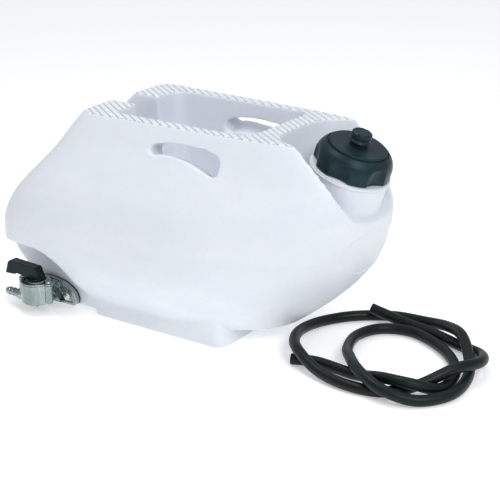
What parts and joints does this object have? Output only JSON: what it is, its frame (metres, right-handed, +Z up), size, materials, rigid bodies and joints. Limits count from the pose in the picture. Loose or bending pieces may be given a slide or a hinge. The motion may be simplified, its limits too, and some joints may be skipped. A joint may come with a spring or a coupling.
{
  "type": "portable fluid tank",
  "caption": "Moulded portable tank with treaded deck, storage well, hand holes, tilted vented filler cap, lever tap and a loose hose.",
  "frame": {"origin": "on the ground under the middle of the tank's box, the loose hose left out", "axes": "+X from the tap end to the filler end, +Y away from the tap's side, +Z up"},
  "size_m": [0.5295, 0.2512, 0.2243],
  "materials": {
    "tank_plastic": "translucent white moulded polyethylene with a soft satin skin",
    "cap_plastic": "dark slate moulded plastic, satin",
    "lever_plastic": "black moulded plastic, satin",
    "tap_metal": "die-cast aluminium, lightly polished",
    "steel": "zinc-plated steel",
    "brass": "machined brass",
    "seal_rubber": "black rubber seal",
    "strainer_plastic": "natural moulded plastic",
    "hose_rubber": "smooth black rubber hose with a faint bloom"
  },
  "bodies": {
    "tank": {"tank_shell": "tank_plastic", "tap_body": "tap_metal", "flange_gasket": "seal_rubber", "threaded_insert_rear": "brass", "threaded_insert_front": "brass", "flange_washer_rear": "steel", "flange_washer_front": "steel", "flange_screw_rear": "steel", "flange_screw_front": "steel", "retaining_screw_rear": "steel", "retaining_screw_front": "steel", "hose_barb": "tap_metal", "rotor_seal": "seal_rubber", "spring_washer": "steel", "stem_o_ring": "seal_rubber", "retaining_plate": "tap_metal", "drain_washer": "seal_rubber", "drain_screw": "steel", "inlet_strainer": "strainer_plastic", "outlet_hose": "hose_rubber"},
    "cap_seal": {"cap_gasket": "seal_rubber"},
    "cap": {"cap_shell": "cap_plastic", "vent_spigot": "cap_plastic"},
    "vent_rod": {"vent_needle": "lever_plastic", "vent_o_ring": "seal_rubber"},
    "vent_knob": {"vent_knob": "cap_plastic"},
    "tap_rotor": {"valve_rotor": "strainer_plastic", "tap_lever": "lever_plastic", "lever_screw": "steel"}
  },
  "joints": [
    {"name": "cap_lift", "type": "slide", "parent": "tank", "child": "cap_seal", "axis": [0.3024, 0, 0.9532], "range_m": [0, 0.06]},
    {"name": "cap_turn", "type": "hinge", "parent": "cap_seal", "child": "cap", "pos_m": [0.1658, 0.0045, 0.1835], "axis": [0.3024, 0, 0.9532], "range_deg": [0, 540]},
    {"name": "vent_lift", "type": "slide", "parent": "cap", "child": "vent_rod", "axis": [0.3024, 0, 0.9532], "range_m": [0, 0.003]},
    {"name": "vent_turn", "type": "hinge", "parent": "vent_rod", "child": "vent_knob", "pos_m": [0.1658, 0.0045, 0.1835], "axis": [0.3024, 0, 0.9532], "range_deg": [0, 180]},
    {"name": "tap_turn", "type": "hinge", "parent": "tank", "child": "tap_rotor", "pos_m": [-0.146, -0.1095, 0.036], "axis": [0, 0, 1], "range_deg": [0, 90]}
  ],
  "couplings": [
    {"joint": "vent_lift", "follows": "vent_turn", "m_per_rad": 0.00095}
  ]
}
